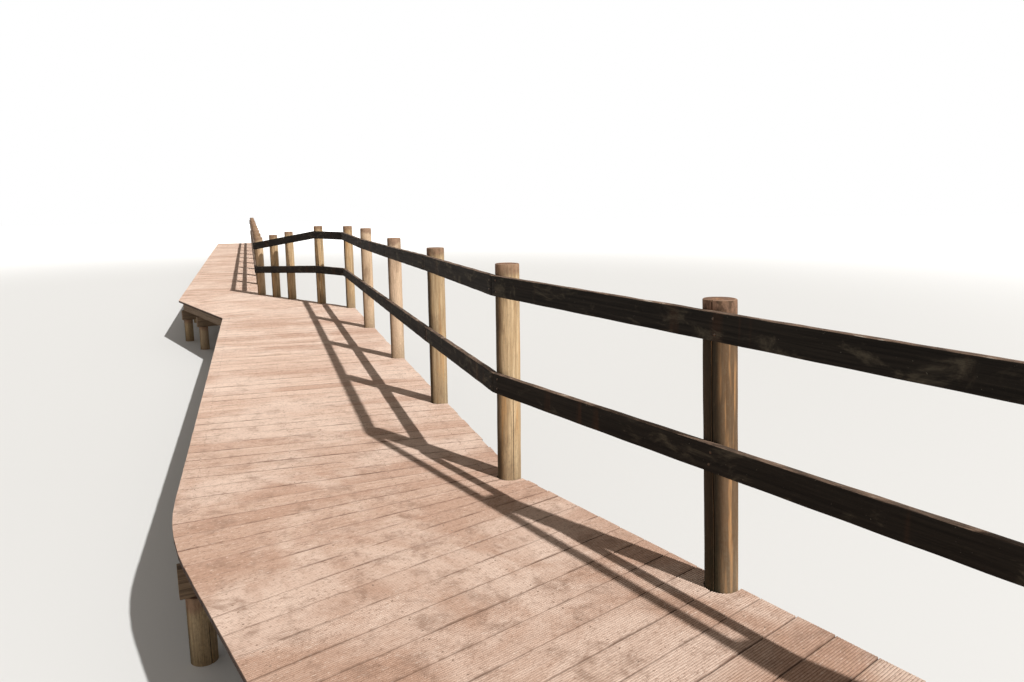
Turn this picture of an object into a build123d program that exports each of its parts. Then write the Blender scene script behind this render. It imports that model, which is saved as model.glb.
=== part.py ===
from build123d import *
import os
from math import cos, radians, sin

os.makedirs("parts", exist_ok=True)

# Wooden boardwalk with a two-plank rail along its right side.
# The walk is followed from its near end, along the line of rail posts.
# A heading is in degrees to the left of +Y, and a length is from post to post.

# Near run: six bays, with a bowed left edge where it turns
NEAR_LENGTHS = (1500, 1400, 1610, 1690, 1840, 1770)
NEAR_HEADINGS = (33, 33, 17.6, 17.6, 17.6, 17.6)
NEAR_WIDTH = 1580
BAYS_BEFORE_BOW = 2
BOW_RADIUS = 2900

# Bend: short bays in one straight line, between two mitred corners
BEND_LENGTHS = (690, 760, 430, 430)
BEND_HEADING = 46

# Far run: narrower, with equal bays
FAR_BAYS = 10
FAR_LENGTH = 1650
FAR_HEADING = 18
FAR_WIDTH = 1150
FAR_PANEL_BAYS = 4

# Heights above the ground and above the deck. The rails' heights are for the near stations, the
# bend's first post and the bend's end, and stay the same past it
DECK_HEIGHT = 600
NEAR_POSTS_ABOVE_DECK = (1060, 1030, 1070, 1060, 1055, 1085, 1060)
BEND_POSTS_ABOVE_DECK = (1050, 960, 905)
FAR_POSTS_ABOVE_DECK = 860
RAILS_ABOVE_DECK = {
    "top": (973, 995, 1017, 1011, 992, 976, 985, 985, 780),
    "lower": (540, 540, 540, 526, 522, 520, 520, 520, 430),
}
BAYS_BEFORE_LEANING_POST = 1
LEAN = 3

# Timber sections
POST_DIAMETER = 120
POST_TOP_CHAMFER = 5
PILE_DIAMETER = 120
RAIL_DEPTH = 100
RAIL_THICKNESS = 32
BOARD_THICKNESS = 28
JOIST_WIDTH = 50
JOIST_DEPTH = 120
JOISTS_ACROSS = 4
BEARER_WIDTH = 70
BEARER_DEPTH = 140

# How the timbers sit on each other
EDGE_PAST_POSTS = 45
DECK_END_BEYOND_POST = 70
POST_NOTCH_CLEARANCE = 3
RAIL_HOUSING = 8
RAIL_GAP = 2
PANEL_GAP = 4
JOIST_GAP = 6
LEFT_JOIST_INSET = 80
JOIST_POST_CLEARANCE = 15
BEARER_HOUSING = 30
BEARER_END_INSET = 30
PILE_INSET = 110

deck_bottom = DECK_HEIGHT - BOARD_THICKNESS
joist_bottom = deck_bottom - JOIST_DEPTH
bearer_bottom = joist_bottom - BEARER_DEPTH
rail_back = POST_DIAMETER / 2 - RAIL_HOUSING
rail_face = rail_back + RAIL_THICKNESS
rail_end = POST_DIAMETER / 2
deck_end = POST_DIAMETER / 2 + DECK_END_BEYOND_POST
right_joist_inset = POST_DIAMETER / 2 + JOIST_POST_CLEARANCE + JOIST_WIDTH / 2

# The plan: framed stations, each with a rail post, a bearer and a pile
near_bays = len(NEAR_LENGTHS)
bay_lengths = NEAR_LENGTHS + (sum(BEND_LENGTHS),) + (FAR_LENGTH,) * FAR_BAYS
bay_headings = NEAR_HEADINGS + (BEND_HEADING,) + (FAR_HEADING,) * FAR_BAYS
bay_count = len(bay_lengths)
bend_bay = near_bays
last_near_station = near_bays


def forward(heading):
    """The level direction of a heading."""
    return Vector(-sin(radians(heading)), cos(radians(heading)), 0)


def rightward(heading):
    """The level direction square to a heading, to its right."""
    return Vector(cos(radians(heading)), sin(radians(heading)), 0)


stations = [Vector(0, 0)]
for length, heading in zip(bay_lengths, bay_headings):
    stations.append(stations[-1] + forward(heading) * length)
walk = (stations, bay_headings)


def across(number, offset, line=walk):
    """A plan point on the mitre at one of a line's points, offset to the left of the line."""
    points, headings = line
    before = headings[max(number - 1, 0)]
    after = headings[min(number, len(headings) - 1)]
    mitre = rightward((before + after) / 2) * (offset / cos(radians((after - before) / 2)))
    return points[number] - mitre


def width_at(station):
    """The walk's width at a station, from the post line to the left edge."""
    return NEAR_WIDTH if station <= last_near_station else FAR_WIDTH


def strip(start, end, inner, outer, near_end, far_end, line=walk):
    """Corners of a straight strip between two of a line's points, from offsets to offsets."""
    points, headings = line
    step = forward(headings[start])
    return [
        across(start, inner[0], line) + step * near_end,
        across(end, inner[1], line) - step * far_end,
        across(end, outer[1], line) - step * far_end,
        across(start, outer[0], line) + step * near_end,
    ]


def flat_piece(corners, bottom, height, mode=Mode.ADD):
    """Extrudes a plan outline upwards, in the open part."""
    with BuildSketch(Plane.XY.offset(bottom)) as outline:
        with BuildLine():
            Polyline(*corners, close=True)
        make_face()
    extrude(outline.sketch, amount=height, mode=mode)


def round_piece(centres, diameter, bottom, height, mode=Mode.ADD):
    """Extrudes a circle upwards at each centre, in the open part."""
    with BuildSketch(Plane.XY.offset(bottom)) as outline:
        with Locations(*centres):
            Circle(diameter / 2)
    extrude(outline.sketch, amount=height, mode=mode)


finished = {}


def keep(name, piece):
    """Sets a finished piece aside under its name."""
    finished[name] = piece


# Deck panels, one for each near bay, notched round the posts
def deck_ends(bay):
    """How far a panel stops short of its two stations, negative past the walk's ends."""
    near_end = -deck_end if bay == 0 else PANEL_GAP / 2
    far_end = -deck_end if bay == bay_count - 1 else PANEL_GAP / 2
    return near_end, far_end


def deck_corners(bay):
    """Plan corners of the deck over one bay."""
    right = (-EDGE_PAST_POSTS, -EDGE_PAST_POSTS)
    left = (width_at(bay), width_at(bay + 1))
    return strip(bay, bay + 1, right, left, *deck_ends(bay))


def cut_post_notches(centres):
    """Cuts the open panel clear of the posts that pass through it."""
    notch_diameter = POST_DIAMETER + 2 * POST_NOTCH_CLEARANCE
    round_piece(centres, notch_diameter, deck_bottom, BOARD_THICKNESS, Mode.SUBTRACT)


turns = [0, BAYS_BEFORE_BOW, last_near_station]
walk_start = forward(bay_headings[0]) * -deck_end
right_side = [across(station, -EDGE_PAST_POSTS) for station in turns]
left_side = [across(station, NEAR_WIDTH) for station in turns]
right_side[0] += walk_start
left_side[0] += walk_start

with BuildPart() as near_deck:
    with BuildSketch(Plane.XY.offset(deck_bottom)) as bowed_outline:
        with BuildLine():
            Polyline(*right_side, *left_side[::-1], close=True)
        make_face()
        fillet(bowed_outline.vertices().sort_by_distance(left_side[1])[0], BOW_RADIUS)
    extrude(amount=BOARD_THICKNESS)

for bay in range(near_bays):
    with BuildPart() as deck_panel:
        flat_piece(deck_corners(bay), deck_bottom, BOARD_THICKNESS)
        add(near_deck.part, mode=Mode.INTERSECT)
        cut_post_notches([stations[bay], stations[bay + 1]])
    keep(f"deck_panel_{bay + 1}", deck_panel.part)

bend_posts_along = [sum(BEND_LENGTHS[:count]) for count in range(1, len(BEND_LENGTHS))]
bend_post_centres = [
    stations[bend_bay] + forward(BEND_HEADING) * along for along in bend_posts_along
]

with BuildPart() as deck_panel_bend:
    flat_piece(deck_corners(bend_bay), deck_bottom, BOARD_THICKNESS)
    cut_post_notches([stations[bend_bay], *bend_post_centres, stations[bend_bay + 1]])
keep("deck_panel_bend", deck_panel_bend.part)

for panel, first_bay in enumerate(range(bend_bay + 1, bay_count, FAR_PANEL_BAYS), start=1):
    with BuildPart() as far_deck_panel:
        for bay in range(first_bay, min(first_bay + FAR_PANEL_BAYS, bay_count)):
            flat_piece(deck_corners(bay), deck_bottom, BOARD_THICKNESS)
            cut_post_notches([stations[bay], stations[bay + 1]])
    keep(f"far_deck_panel_{panel}", far_deck_panel.part)


# Joists, side by side in each bay and resting on the bearers
def joist_offset(number, station):
    """Offset of a joist's centre line at a station."""
    left = width_at(station) - LEFT_JOIST_INSET
    return right_joist_inset + (left - right_joist_inset) * number / (JOISTS_ACROSS - 1)


def add_joists(bays):
    """Adds the joists of some bays to the open part."""
    for bay in bays:
        near_end = -BEARER_WIDTH / 2 if bay == 0 else JOIST_GAP / 2
        far_end = -BEARER_WIDTH / 2 if bay == bay_count - 1 else JOIST_GAP / 2
        for number in range(JOISTS_ACROSS):
            middle = (joist_offset(number, bay), joist_offset(number, bay + 1))
            inner = [offset - JOIST_WIDTH / 2 for offset in middle]
            outer = [offset + JOIST_WIDTH / 2 for offset in middle]
            corners = strip(bay, bay + 1, inner, outer, near_end, far_end)
            flat_piece(corners, joist_bottom, JOIST_DEPTH)


# Bearers, each from a housing in its post to the pile at the left edge
def bearer_line(station):
    """The post centre and left edge point that a station's bearer joins."""
    return stations[station], across(station, width_at(station))


mid_bend = len(bend_post_centres) // 2
mid_bend_share = bend_posts_along[mid_bend] / sum(BEND_LENGTHS)
bend_left_start = across(bend_bay, NEAR_WIDTH)
bend_left_end = across(bend_bay + 1, FAR_WIDTH)
mid_bend_line = (
    bend_post_centres[mid_bend],
    bend_left_start + (bend_left_end - bend_left_start) * mid_bend_share,
)


def add_bearer(line, mode=Mode.ADD):
    """Adds the bearer on one line to the open part, or cuts its housing."""
    post, left_edge = line
    leftward = (left_edge - post).normalized()
    side = leftward.cross(Vector(0, 0, 1)) * (BEARER_WIDTH / 2)
    right_end = post + leftward * (POST_DIAMETER / 2 - BEARER_HOUSING)
    left_end = left_edge - leftward * BEARER_END_INSET
    corners = [right_end - side, right_end + side, left_end + side, left_end - side]
    flat_piece(corners, bearer_bottom, BEARER_DEPTH, mode)


def add_pile(line):
    """Adds the pile under the left end of the bearer on one line."""
    post, left_edge = line
    centre = left_edge - (left_edge - post).normalized() * PILE_INSET
    round_piece([centre], PILE_DIAMETER, 0, bearer_bottom)


near_lines = [bearer_line(station) for station in range(near_bays)]
bend_lines = [bearer_line(bend_bay), mid_bend_line, bearer_line(bend_bay + 1)]
far_lines = [bearer_line(station) for station in range(bend_bay + 2, bay_count + 1)]
run_lines = {"near": near_lines, "bend": bend_lines, "far": far_lines}
run_bays = {
    "near": range(near_bays),
    "bend": [bend_bay],
    "far": range(bend_bay + 1, bay_count),
}

for run, lines in run_lines.items():
    with BuildPart() as joists:
        add_joists(run_bays[run])
    keep(f"{run}_joists", joists.part)
    with BuildPart() as bearers:
        for line in lines:
            add_bearer(line)
    keep(f"{run}_bearers", bearers.part)
    with BuildPart() as piles:
        for line in lines:
            add_pile(line)
    keep(f"{run}_piles", piles.part)


# Rails, planks nailed to the walk side of the posts. Their line has the bend's first post in it,
# where the bend's two planks meet. The first plank runs on over two bays
bend_joint = bend_bay + 1
rail_points = [*stations[:bend_joint], bend_post_centres[0], *stations[bend_joint:]]
rail_headings = [*bay_headings[:bend_joint], *bay_headings[bend_bay:]]
rail_line = (rail_points, rail_headings)
last_rail_point = len(rail_headings)

near_planks = [(0, 2), (2, 3), (3, 4), (4, 5), (5, 6)]
bend_planks = [(bend_bay, bend_joint), (bend_joint, bend_joint + 1)]
far_planks = [(point, point + 1) for point in range(bend_joint + 1, last_rail_point)]
rail_planks = [*near_planks, *bend_planks, *far_planks]


def rail_top(level, point):
    """Height of a rail's upper edge at a point of the rail line."""
    heights = RAILS_ABOVE_DECK[level]
    return DECK_HEIGHT + heights[min(point, len(heights) - 1)]


def add_plank(ends, level, mode=Mode.ADD):
    """Adds the rail plank between two rail points to the open part, or cuts its housing."""
    start, end = ends
    near_end = -rail_end if start == 0 else RAIL_GAP / 2
    far_end = -rail_end if end == last_rail_point else RAIL_GAP / 2
    back = (rail_back, rail_back)
    face = (rail_face, rail_face)
    corners = strip(start, end, back, face, near_end, far_end, rail_line)
    length = (rail_points[end] - rail_points[start]).length
    slope = (rail_top(level, end) - rail_top(level, start)) / length
    heading = rail_headings[start]
    past_ends = 2 * POST_DIAMETER
    near_top = Vector(-past_ends, rail_top(level, start) - slope * past_ends)
    far_top = Vector(length + past_ends, rail_top(level, end) + slope * past_ends)
    down = Vector(0, -RAIL_DEPTH)
    upright = Plane(rail_points[start], x_dir=forward(heading), z_dir=rightward(heading))
    with BuildPart() as plank:
        flat_piece(corners, DECK_HEIGHT, max(NEAR_POSTS_ABOVE_DECK))
        with BuildSketch(upright) as elevation:
            with BuildLine():
                Polyline(near_top, far_top, far_top + down, near_top + down, close=True)
            make_face()
        extrude(elevation.sketch, amount=past_ends, both=True, mode=Mode.INTERSECT)
    add(plank.part, mode=mode)


for level in RAILS_ABOVE_DECK:
    for number, ends in enumerate(near_planks, start=1):
        with BuildPart() as rail:
            add_plank(ends, level)
        keep(f"{level}_rail_{number}", rail.part)
    with BuildPart() as bend_rail:
        for ends in bend_planks:
            add_plank(ends, level)
    keep(f"bend_{level}_rail", bend_rail.part)
    with BuildPart() as far_rail:
        for ends in far_planks:
            add_plank(ends, level)
    keep(f"far_{level}_rail", far_rail.part)


# Rail posts, from the ground to above the top rail, with a flat for each plank
def make_post(centre, height, lean, planks, line=None):
    """A post leaning along the walk, housed for some of the rail planks and for its bearer."""
    along = forward(rail_headings[planks[0][0]])
    axis = along * sin(radians(lean)) + Vector(0, 0, cos(radians(lean)))
    at_deck = Plane(centre + Vector(0, 0, DECK_HEIGHT), z_dir=axis)
    with BuildPart() as post:
        with BuildSketch(at_deck.offset(-DECK_HEIGHT - POST_DIAMETER)) as section:
            Circle(POST_DIAMETER / 2)
        extrude(section.sketch, amount=DECK_HEIGHT + POST_DIAMETER + height)
        split(bisect_by=Plane.XY)
        chamfer(post.edges().sort_by(Axis.Z)[-1], POST_TOP_CHAMFER)
        for ends in planks:
            for level in RAILS_ABOVE_DECK:
                add_plank(ends, level, Mode.SUBTRACT)
        if line:
            add_bearer(line, Mode.SUBTRACT)
    return post.part


station_posts = []
for station in range(bay_count + 1):
    near = station <= last_near_station
    point = station if near else station + 1
    height = NEAR_POSTS_ABOVE_DECK[station] if near else FAR_POSTS_ABOVE_DECK
    lean = LEAN if station == BAYS_BEFORE_LEANING_POST else 0
    planks = [ends for ends in rail_planks if ends[0] <= point <= ends[1]]
    post = make_post(stations[station], height, lean, planks, bearer_line(station))
    station_posts.append(post)
    if near:
        keep(f"rail_post_{station + 1}", post)

with BuildPart() as bend_posts:
    for number, centre in enumerate(bend_post_centres):
        planks = bend_planks if number == 0 else bend_planks[1:]
        line = mid_bend_line if number == mid_bend else None
        add(make_post(centre, BEND_POSTS_ABOVE_DECK[number], 0, planks, line))
keep("bend_posts", bend_posts.part)

with BuildPart() as far_posts:
    for post in station_posts[last_near_station + 1:]:
        add(post)
keep("far_posts", far_posts.part)

# The frame's origin is under the middle of the whole walk, at ground level
boxes = [piece.bounding_box() for piece in finished.values()]
middle_x = (min(box.min.X for box in boxes) + max(box.max.X for box in boxes)) / 2
middle_y = (min(box.min.Y for box in boxes) + max(box.max.Y for box in boxes)) / 2
for name, piece in finished.items():
    placed = Location((-middle_x, -middle_y, 0)) * piece
    placed.label = name
    export_step(placed, f"parts/{name}.step")
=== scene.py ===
import bmesh
import bpy
import numpy as np
from math import cos, pi, radians, sin, tan
from mathutils import Matrix, Vector


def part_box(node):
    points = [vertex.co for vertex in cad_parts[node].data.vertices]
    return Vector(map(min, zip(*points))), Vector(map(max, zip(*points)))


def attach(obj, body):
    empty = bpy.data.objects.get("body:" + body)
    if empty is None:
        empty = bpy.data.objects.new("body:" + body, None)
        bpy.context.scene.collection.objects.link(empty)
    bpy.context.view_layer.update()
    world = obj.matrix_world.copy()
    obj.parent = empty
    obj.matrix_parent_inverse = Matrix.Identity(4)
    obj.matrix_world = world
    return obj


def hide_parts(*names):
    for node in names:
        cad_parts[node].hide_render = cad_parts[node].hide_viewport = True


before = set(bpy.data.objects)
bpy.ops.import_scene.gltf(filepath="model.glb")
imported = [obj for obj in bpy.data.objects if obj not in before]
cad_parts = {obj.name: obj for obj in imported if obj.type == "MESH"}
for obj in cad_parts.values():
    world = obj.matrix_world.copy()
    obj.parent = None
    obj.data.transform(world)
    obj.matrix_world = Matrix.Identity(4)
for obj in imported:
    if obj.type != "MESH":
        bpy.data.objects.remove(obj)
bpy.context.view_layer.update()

# The walk's plan, in metres, from its near end along the line of rail posts.
# A heading is in degrees to the left of +Y.
NEAR_LENGTHS = (1.5, 1.4, 1.61, 1.69, 1.84, 1.77)
NEAR_HEADINGS = (33, 33, 17.6, 17.6, 17.6, 17.6)
NEAR_WIDTH = 1.58
BOW_RADIUS = 2.9
BEND_LENGTHS = (0.69, 0.76, 0.43, 0.43)
BEND_HEADING = 46
FAR_BAYS = 10
FAR_LENGTH = 1.65
FAR_HEADING = 18
FAR_WIDTH = 1.15
EDGE_PAST_POSTS = 0.045
DECK_END = 0.13

# Heights above the deck. The rails' heights are for the near stations, the bend's first post and
# the bend's end, and stay the same past it
NEAR_POSTS_ABOVE_DECK = (1.06, 1.03, 1.07, 1.06, 1.055, 1.085, 1.06)
BEND_POSTS_ABOVE_DECK = (1.05, 0.96, 0.905)
FAR_POSTS_ABOVE_DECK = 0.86
RAILS_ABOVE_DECK = {
    "top": (0.973, 0.995, 1.017, 1.011, 0.992, 0.976, 0.985, 0.985, 0.78),
    "lower": (0.54, 0.54, 0.54, 0.526, 0.522, 0.52, 0.52, 0.52, 0.43),
}
LEANING_STATION = 1
LEAN = 3

# Timber sections, and how the timbers sit on each other
BOARD_THICKNESS = 0.028
JOIST_DEPTH = 0.12
JOIST_WIDTH = 0.05
JOISTS_ACROSS = 4
JOIST_GAP = 0.006
BEARER_DEPTH = 0.14
BEARER_WIDTH = 0.07
POST_RADIUS = 0.06
PILE_RADIUS = 0.06
RAIL_DEPTH = 0.1
RAIL_THICKNESS = 0.032
RAIL_BACK = 0.052
RAIL_GAP = 0.002
LEFT_JOIST_INSET = 0.08
RIGHT_JOIST_INSET = 0.1
BEARER_HOUSING = 0.03
BEARER_END_INSET = 0.03
PILE_INSET = 0.11
PILE_INTO_BEARER = 0.002

deck_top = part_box("deck_panel_1")[1].z
joist_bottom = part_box("near_joists")[0].z
bearer_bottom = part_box("near_bearers")[0].z
post_low, post_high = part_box("rail_post_1")

near_bays = len(NEAR_LENGTHS)
bend_bay = near_bays
bay_lengths = NEAR_LENGTHS + (sum(BEND_LENGTHS),) + (FAR_LENGTH,) * FAR_BAYS
bay_headings = NEAR_HEADINGS + (BEND_HEADING,) + (FAR_HEADING,) * FAR_BAYS
bay_count = len(bay_lengths)


def forward(heading):
    """The level direction of a heading."""
    return np.array([-sin(radians(heading)), cos(radians(heading))])


def rightward(heading):
    """The level direction square to a heading, to its right."""
    return np.array([cos(radians(heading)), sin(radians(heading))])


def unit(direction):
    """A direction with its length made 1."""
    return direction / np.linalg.norm(direction)


def turned_left(direction):
    """A plan direction turned a quarter to the left."""
    return np.array([-direction[1], direction[0]])


stations = [np.array((post_low + post_high) / 2)[:2]]
for bay_length, bay_heading in zip(bay_lengths, bay_headings):
    stations.append(stations[-1] + forward(bay_heading) * bay_length)
walk = (stations, bay_headings)


def across(number, offset, line=walk):
    """A plan point on the mitre at one of a line's points, offset to the left of the line."""
    points, headings = line
    before = headings[max(number - 1, 0)]
    after = headings[min(number, len(headings) - 1)]
    mitre = rightward((before + after) / 2) * (offset / cos(radians((after - before) / 2)))
    return points[number] - mitre


def width_at(station):
    """The walk's width at a station, from the post line to the left edge."""
    return NEAR_WIDTH if station <= near_bays else FAR_WIDTH


def strip(start, end, inner, outer, near_end, far_end, line=walk):
    """Corners of a straight strip between two of a line's points, from offsets to offsets."""
    points, headings = line
    step = forward(headings[start])
    return np.array([
        across(start, inner[0], line) + step * near_end,
        across(end, inner[1], line) - step * far_end,
        across(end, outer[1], line) - step * far_end,
        across(start, outer[0], line) + step * near_end,
    ])


bend_along = np.cumsum(BEND_LENGTHS)[:-1]
bend_post_centres = [stations[bend_bay] + forward(BEND_HEADING) * along for along in bend_along]


ON_THE_LINE = 1e-9


class Edge:
    """A line that runs along the deck, with places on it given in metres from the near end."""

    def __init__(self, points):
        self.points = np.array(points)
        steps = np.linalg.norm(np.diff(self.points, axis=0), axis=1)
        self.along = np.concatenate([[0], np.cumsum(steps)])

    def at(self, along):
        return np.array([np.interp(along, self.along, self.points[:, axis]) for axis in (0, 1)])

    def meet(self, start, direction):
        """The place where a line through the start crosses the edge, nearest to the start."""
        side = (self.points - start) @ turned_left(direction)
        found = []
        for number in range(len(side) - 1):
            before, after = side[number:number + 2]
            if before * after <= ON_THE_LINE and before != after:
                share = before / (before - after)
                place = self.along[number] + share * (self.along[number + 1] - self.along[number])
                found.append((np.linalg.norm(self.at(place) - start), place))
        return min(found)[1]


def rounded_corner(before, corner, after, radius, steps=8):
    """Points of an arc that takes the place of a corner."""
    into = unit(corner - before)
    out = unit(after - corner)
    turn = np.arccos(into @ out)
    reach = radius * tan(turn / 2)
    side = turned_left(into) * (1 if turned_left(into) @ out > 0 else -1)
    start = corner - into * reach
    angles = np.linspace(0, turn, steps + 1)
    return [start + into * (radius * sin(a)) + side * (radius * (1 - cos(a))) for a in angles]


near_end_step = forward(bay_headings[0]) * DECK_END
far_end_step = forward(bay_headings[-1]) * DECK_END
right_corners = [across(station, -EDGE_PAST_POSTS) for station in range(bay_count + 1)]
left_corners = [across(station, width_at(station)) for station in range(bay_count + 1)]
for corners in (right_corners, left_corners):
    corners[0] = corners[0] - near_end_step
    corners[-1] = corners[-1] + far_end_step
right_edge = Edge(right_corners)
bow = rounded_corner(*left_corners[1:4], BOW_RADIUS)
left_edge = Edge([left_corners[0], *bow, *left_corners[3:]])


SHARP_ANGLE = 35
FIBRE_START = 40


def new_object(name, data):
    """A new object in the scene."""
    made = bpy.data.objects.new(name, data)
    bpy.context.scene.collection.objects.link(made)
    return made


class Timbers:
    """Timbers gathered into one mesh. Each point knows its place in its own piece of wood:
    grain is the way from the pith and along the fibres, depth is how far it lies below the
    timber's face, edge is how far it lies from a board's long sides or below a log's top, and
    tone is a shade from 0 to 1 that the whole timber has."""

    def __init__(self):
        self.parts = []
        self.faces = []
        self.count = 0

    def add(self, points, faces, grain, depth, tone, edge=0):
        same = np.ones(len(points))
        values = np.column_stack([points, grain, depth * same, tone * same, edge * same])
        self.parts.append(values)
        self.faces += [[self.count + corner for corner in face] for face in faces]
        self.count += len(points)

    def piece(self, name, material, slot, nodes):
        """Makes the mesh object that stands for some CAD nodes."""
        values = np.concatenate(self.parts)
        mesh = bpy.data.meshes.new(name)
        mesh.from_pydata(values[:, :3].tolist(), [], self.faces)
        mesh.validate()
        grain = mesh.attributes.new("grain", "FLOAT_VECTOR", "POINT")
        grain.data.foreach_set("vector", values[:, 3:6].astype(np.float32).ravel())
        for attribute, column in (("depth", 6), ("tone", 7), ("edge", 8)):
            layer = mesh.attributes.new(attribute, "FLOAT", "POINT")
            layer.data.foreach_set("value", values[:, column].astype(np.float32))
        mesh.shade_smooth()
        mesh.set_sharp_from_angle(angle=radians(SHARP_ANGLE))
        mesh.materials.append(material)
        piece = new_object(name, mesh)
        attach(piece, "root")
        if nodes:
            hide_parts(*nodes)


def tube_faces(rings, size):
    """Faces between rings of that many points each, and over both ends."""
    faces = [
        (start + k, start + (k + 1) % size, start + size + (k + 1) % size, start + size + k)
        for start in range(0, (rings - 1) * size, size)
        for k in range(size)
    ]
    last = (rings - 1) * size
    return faces + [tuple(range(size))[::-1], tuple(range(last, last + size))]


WOBBLE_WAVES = 4
WAVE_SIZES = (0.3, 0.6)
WAVE_LENGTHS = (0.5, 2)


def wobble(rng, reach, length):
    """A smooth random curve of about that reach, which turns about once in each length."""
    waves = []
    for _ in range(WOBBLE_WAVES):
        size = reach * rng.uniform(*WAVE_SIZES)
        rate = 2 * pi / (length * rng.uniform(*WAVE_LENGTHS))
        waves.append((size, rate, rng.uniform(0, 2 * pi)))
    return lambda along: sum(size * np.sin(rate * along + phase) for size, rate, phase in waves)


class Heads(Timbers):
    """Screw or nail heads gathered into one mesh."""

    def __init__(self, profile, sides=8):
        super().__init__()
        self.profile = profile
        self.sides = sides

    def drive(self, point, outward):
        """Adds a head at a point, turned outward. The profile is a list of radii and heights."""
        outward = np.array(outward, float)
        sideways = abs(outward[2]) < 0.9
        across_head = unit(np.cross(outward, (0.3, 0.2, 1) if sideways else (1, 0.2, 0)))
        along_head = np.cross(outward, across_head)
        angles = np.arange(self.sides) * 2 * pi / self.sides
        circle = np.outer(np.cos(angles), across_head) + np.outer(np.sin(angles), along_head)
        rings = [point + circle * radius + outward * rise for radius, rise in self.profile]
        points = np.concatenate(rings)
        self.add(points, tube_faces(len(rings), self.sides), points, 0, 0.5)


# Deck boards, with ribs between fine grooves
BOARD_PITCH = 0.15
BOARD_GAPS = (0.0025, 0.008)
ARRIS = 0.0025
ARRIS_ROUNDING = 0.3
GROOVE_COUNT = 14
GROOVE_PITCH = 0.0096
GROOVE_TOP = 0.0021
GROOVE_FLOOR = 0.0009
GROOVE_DEPTH = 0.0014
BOARD_SEGMENT = 0.12
BOARD_LOW = 0.0012
BOARD_WARP = (0.0006, 1.5)
BOARD_TILT = 0.006
PITH_FROM_MIDDLE = (-0.04, 0.04)
PITH_BELOW_TOP = (-0.12, -0.05)
LEFT_END_SHORT = 0.0015
RIGHT_END_SHORT = 0.004
UNCUT_PAST_ENDS = 0.03
TAPER_LEFT_UNCUT = 0.003
NOTCH_RADIUS = POST_RADIUS + 0.003
NOTCH_LENGTH = 0.2
NOTCH_HALF_HEIGHT = 0.1
NOTCH_POINTS = 21
NOTCHED_FROM_END = 0.3

# Where the boards turn: a corner of the right edge, metres past it, and the heading
# that the boards are square to
BOARD_TURNS = (
    (0, 0, NEAR_HEADINGS[0]),
    (0, 0.75, 40.5),
    (2, -0.35, 41.5),
    (2, 0.5, 17.6),
    (6, -0.56, 17.6),
    (6, 0, (NEAR_HEADINGS[-1] + BEND_HEADING) / 2),
    (6, 0.63, BEND_HEADING),
    (7, -0.25, BEND_HEADING),
    (7, 0, (BEND_HEADING + FAR_HEADING) / 2),
    (7, 0.2, FAR_HEADING),
    (bay_count, 0, FAR_HEADING),
)

# Screws, two in each board over each joist, given as shares of the board's width. A head's
# profile is its radii and heights
SCREW_ROWS = (0.19, 0.81)
SCREW_SHIFT = 0.004
SCREW_HEAD = ((0.004, -0.001), (0.004, 0), (0.0035, 0.0004), (0.0013, 0.0003), (0.001, -0.0012))


def joist_offset(number, station):
    """Offset of a joist's centre line at a station."""
    left = width_at(station) - LEFT_JOIST_INSET
    return RIGHT_JOIST_INSET + (left - RIGHT_JOIST_INSET) * number / (JOISTS_ACROSS - 1)


joist_lines = []
for number in range(JOISTS_ACROSS):
    line = [across(station, joist_offset(number, station)) for station in range(bay_count + 1)]
    joist_lines.append(Edge([line[0] - near_end_step, *line[1:-1], line[-1] + far_end_step]))


def board_section(width):
    """A board's section, as places across and heights, from one lower corner over the top."""
    middles = width / 2 + (np.arange(GROOVE_COUNT) - (GROOVE_COUNT - 1) / 2) * GROOVE_PITCH
    rounding = ARRIS * ARRIS_ROUNDING
    near_side = [(0, -BOARD_THICKNESS), (0, -ARRIS), (rounding, -rounding), (ARRIS, 0)]
    grooves = [
        (middle + place, height)
        for middle in middles
        for place, height in (
            (-GROOVE_TOP, 0),
            (-GROOVE_FLOOR, -GROOVE_DEPTH),
            (GROOVE_FLOOR, -GROOVE_DEPTH),
            (GROOVE_TOP, 0),
        )
    ]
    far_side = [(width - place, height) for place, height in near_side[::-1]]
    return near_side + grooves + far_side


def bar_along_x(section, start, end, segment):
    """A closed bar of that section."""
    bar = bmesh.new()
    steps = max(1, round((end - start) / segment))
    rings = [
        [bar.verts.new((x, y, z)) for y, z in section] for x in np.linspace(start, end, steps + 1)
    ]
    for near, far in zip(rings, rings[1:]):
        for corner in range(len(section)):
            bar.faces.new((near[corner - 1], near[corner], far[corner], far[corner - 1]))
    bar.faces.new(rings[0])
    bar.faces.new(rings[-1][::-1])
    return bar


def trim(bar, point, outward):
    """Cuts off what lies beyond an upright plane and closes the cut."""
    cut = bmesh.ops.bisect_plane(
        bar,
        geom=bar.verts[:] + bar.edges[:] + bar.faces[:],
        dist=1e-6,
        plane_co=(*point, 0),
        plane_no=(*outward, 0),
        clear_outer=True,
    )
    edges = [part for part in cut["geom_cut"] if isinstance(part, bmesh.types.BMEdge)]
    if edges:
        bmesh.ops.edgeloop_fill(bar, edges=edges)


notch_outline = [
    (NOTCH_RADIUS * cos(angle), NOTCH_RADIUS * sin(angle))
    for angle in np.linspace(pi / 2, 3 * pi / 2, NOTCH_POINTS)
]
notch_outline += [(NOTCH_LENGTH, -NOTCH_RADIUS), (NOTCH_LENGTH, NOTCH_RADIUS)]
notch_cutter_mesh = bpy.data.meshes.new("notch_cutter")
notch_cutter_mesh.from_pydata(
    [(x, y, z) for z in (-NOTCH_HALF_HEIGHT, NOTCH_HALF_HEIGHT) for x, y in notch_outline],
    [],
    tube_faces(2, len(notch_outline)),
)


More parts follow.
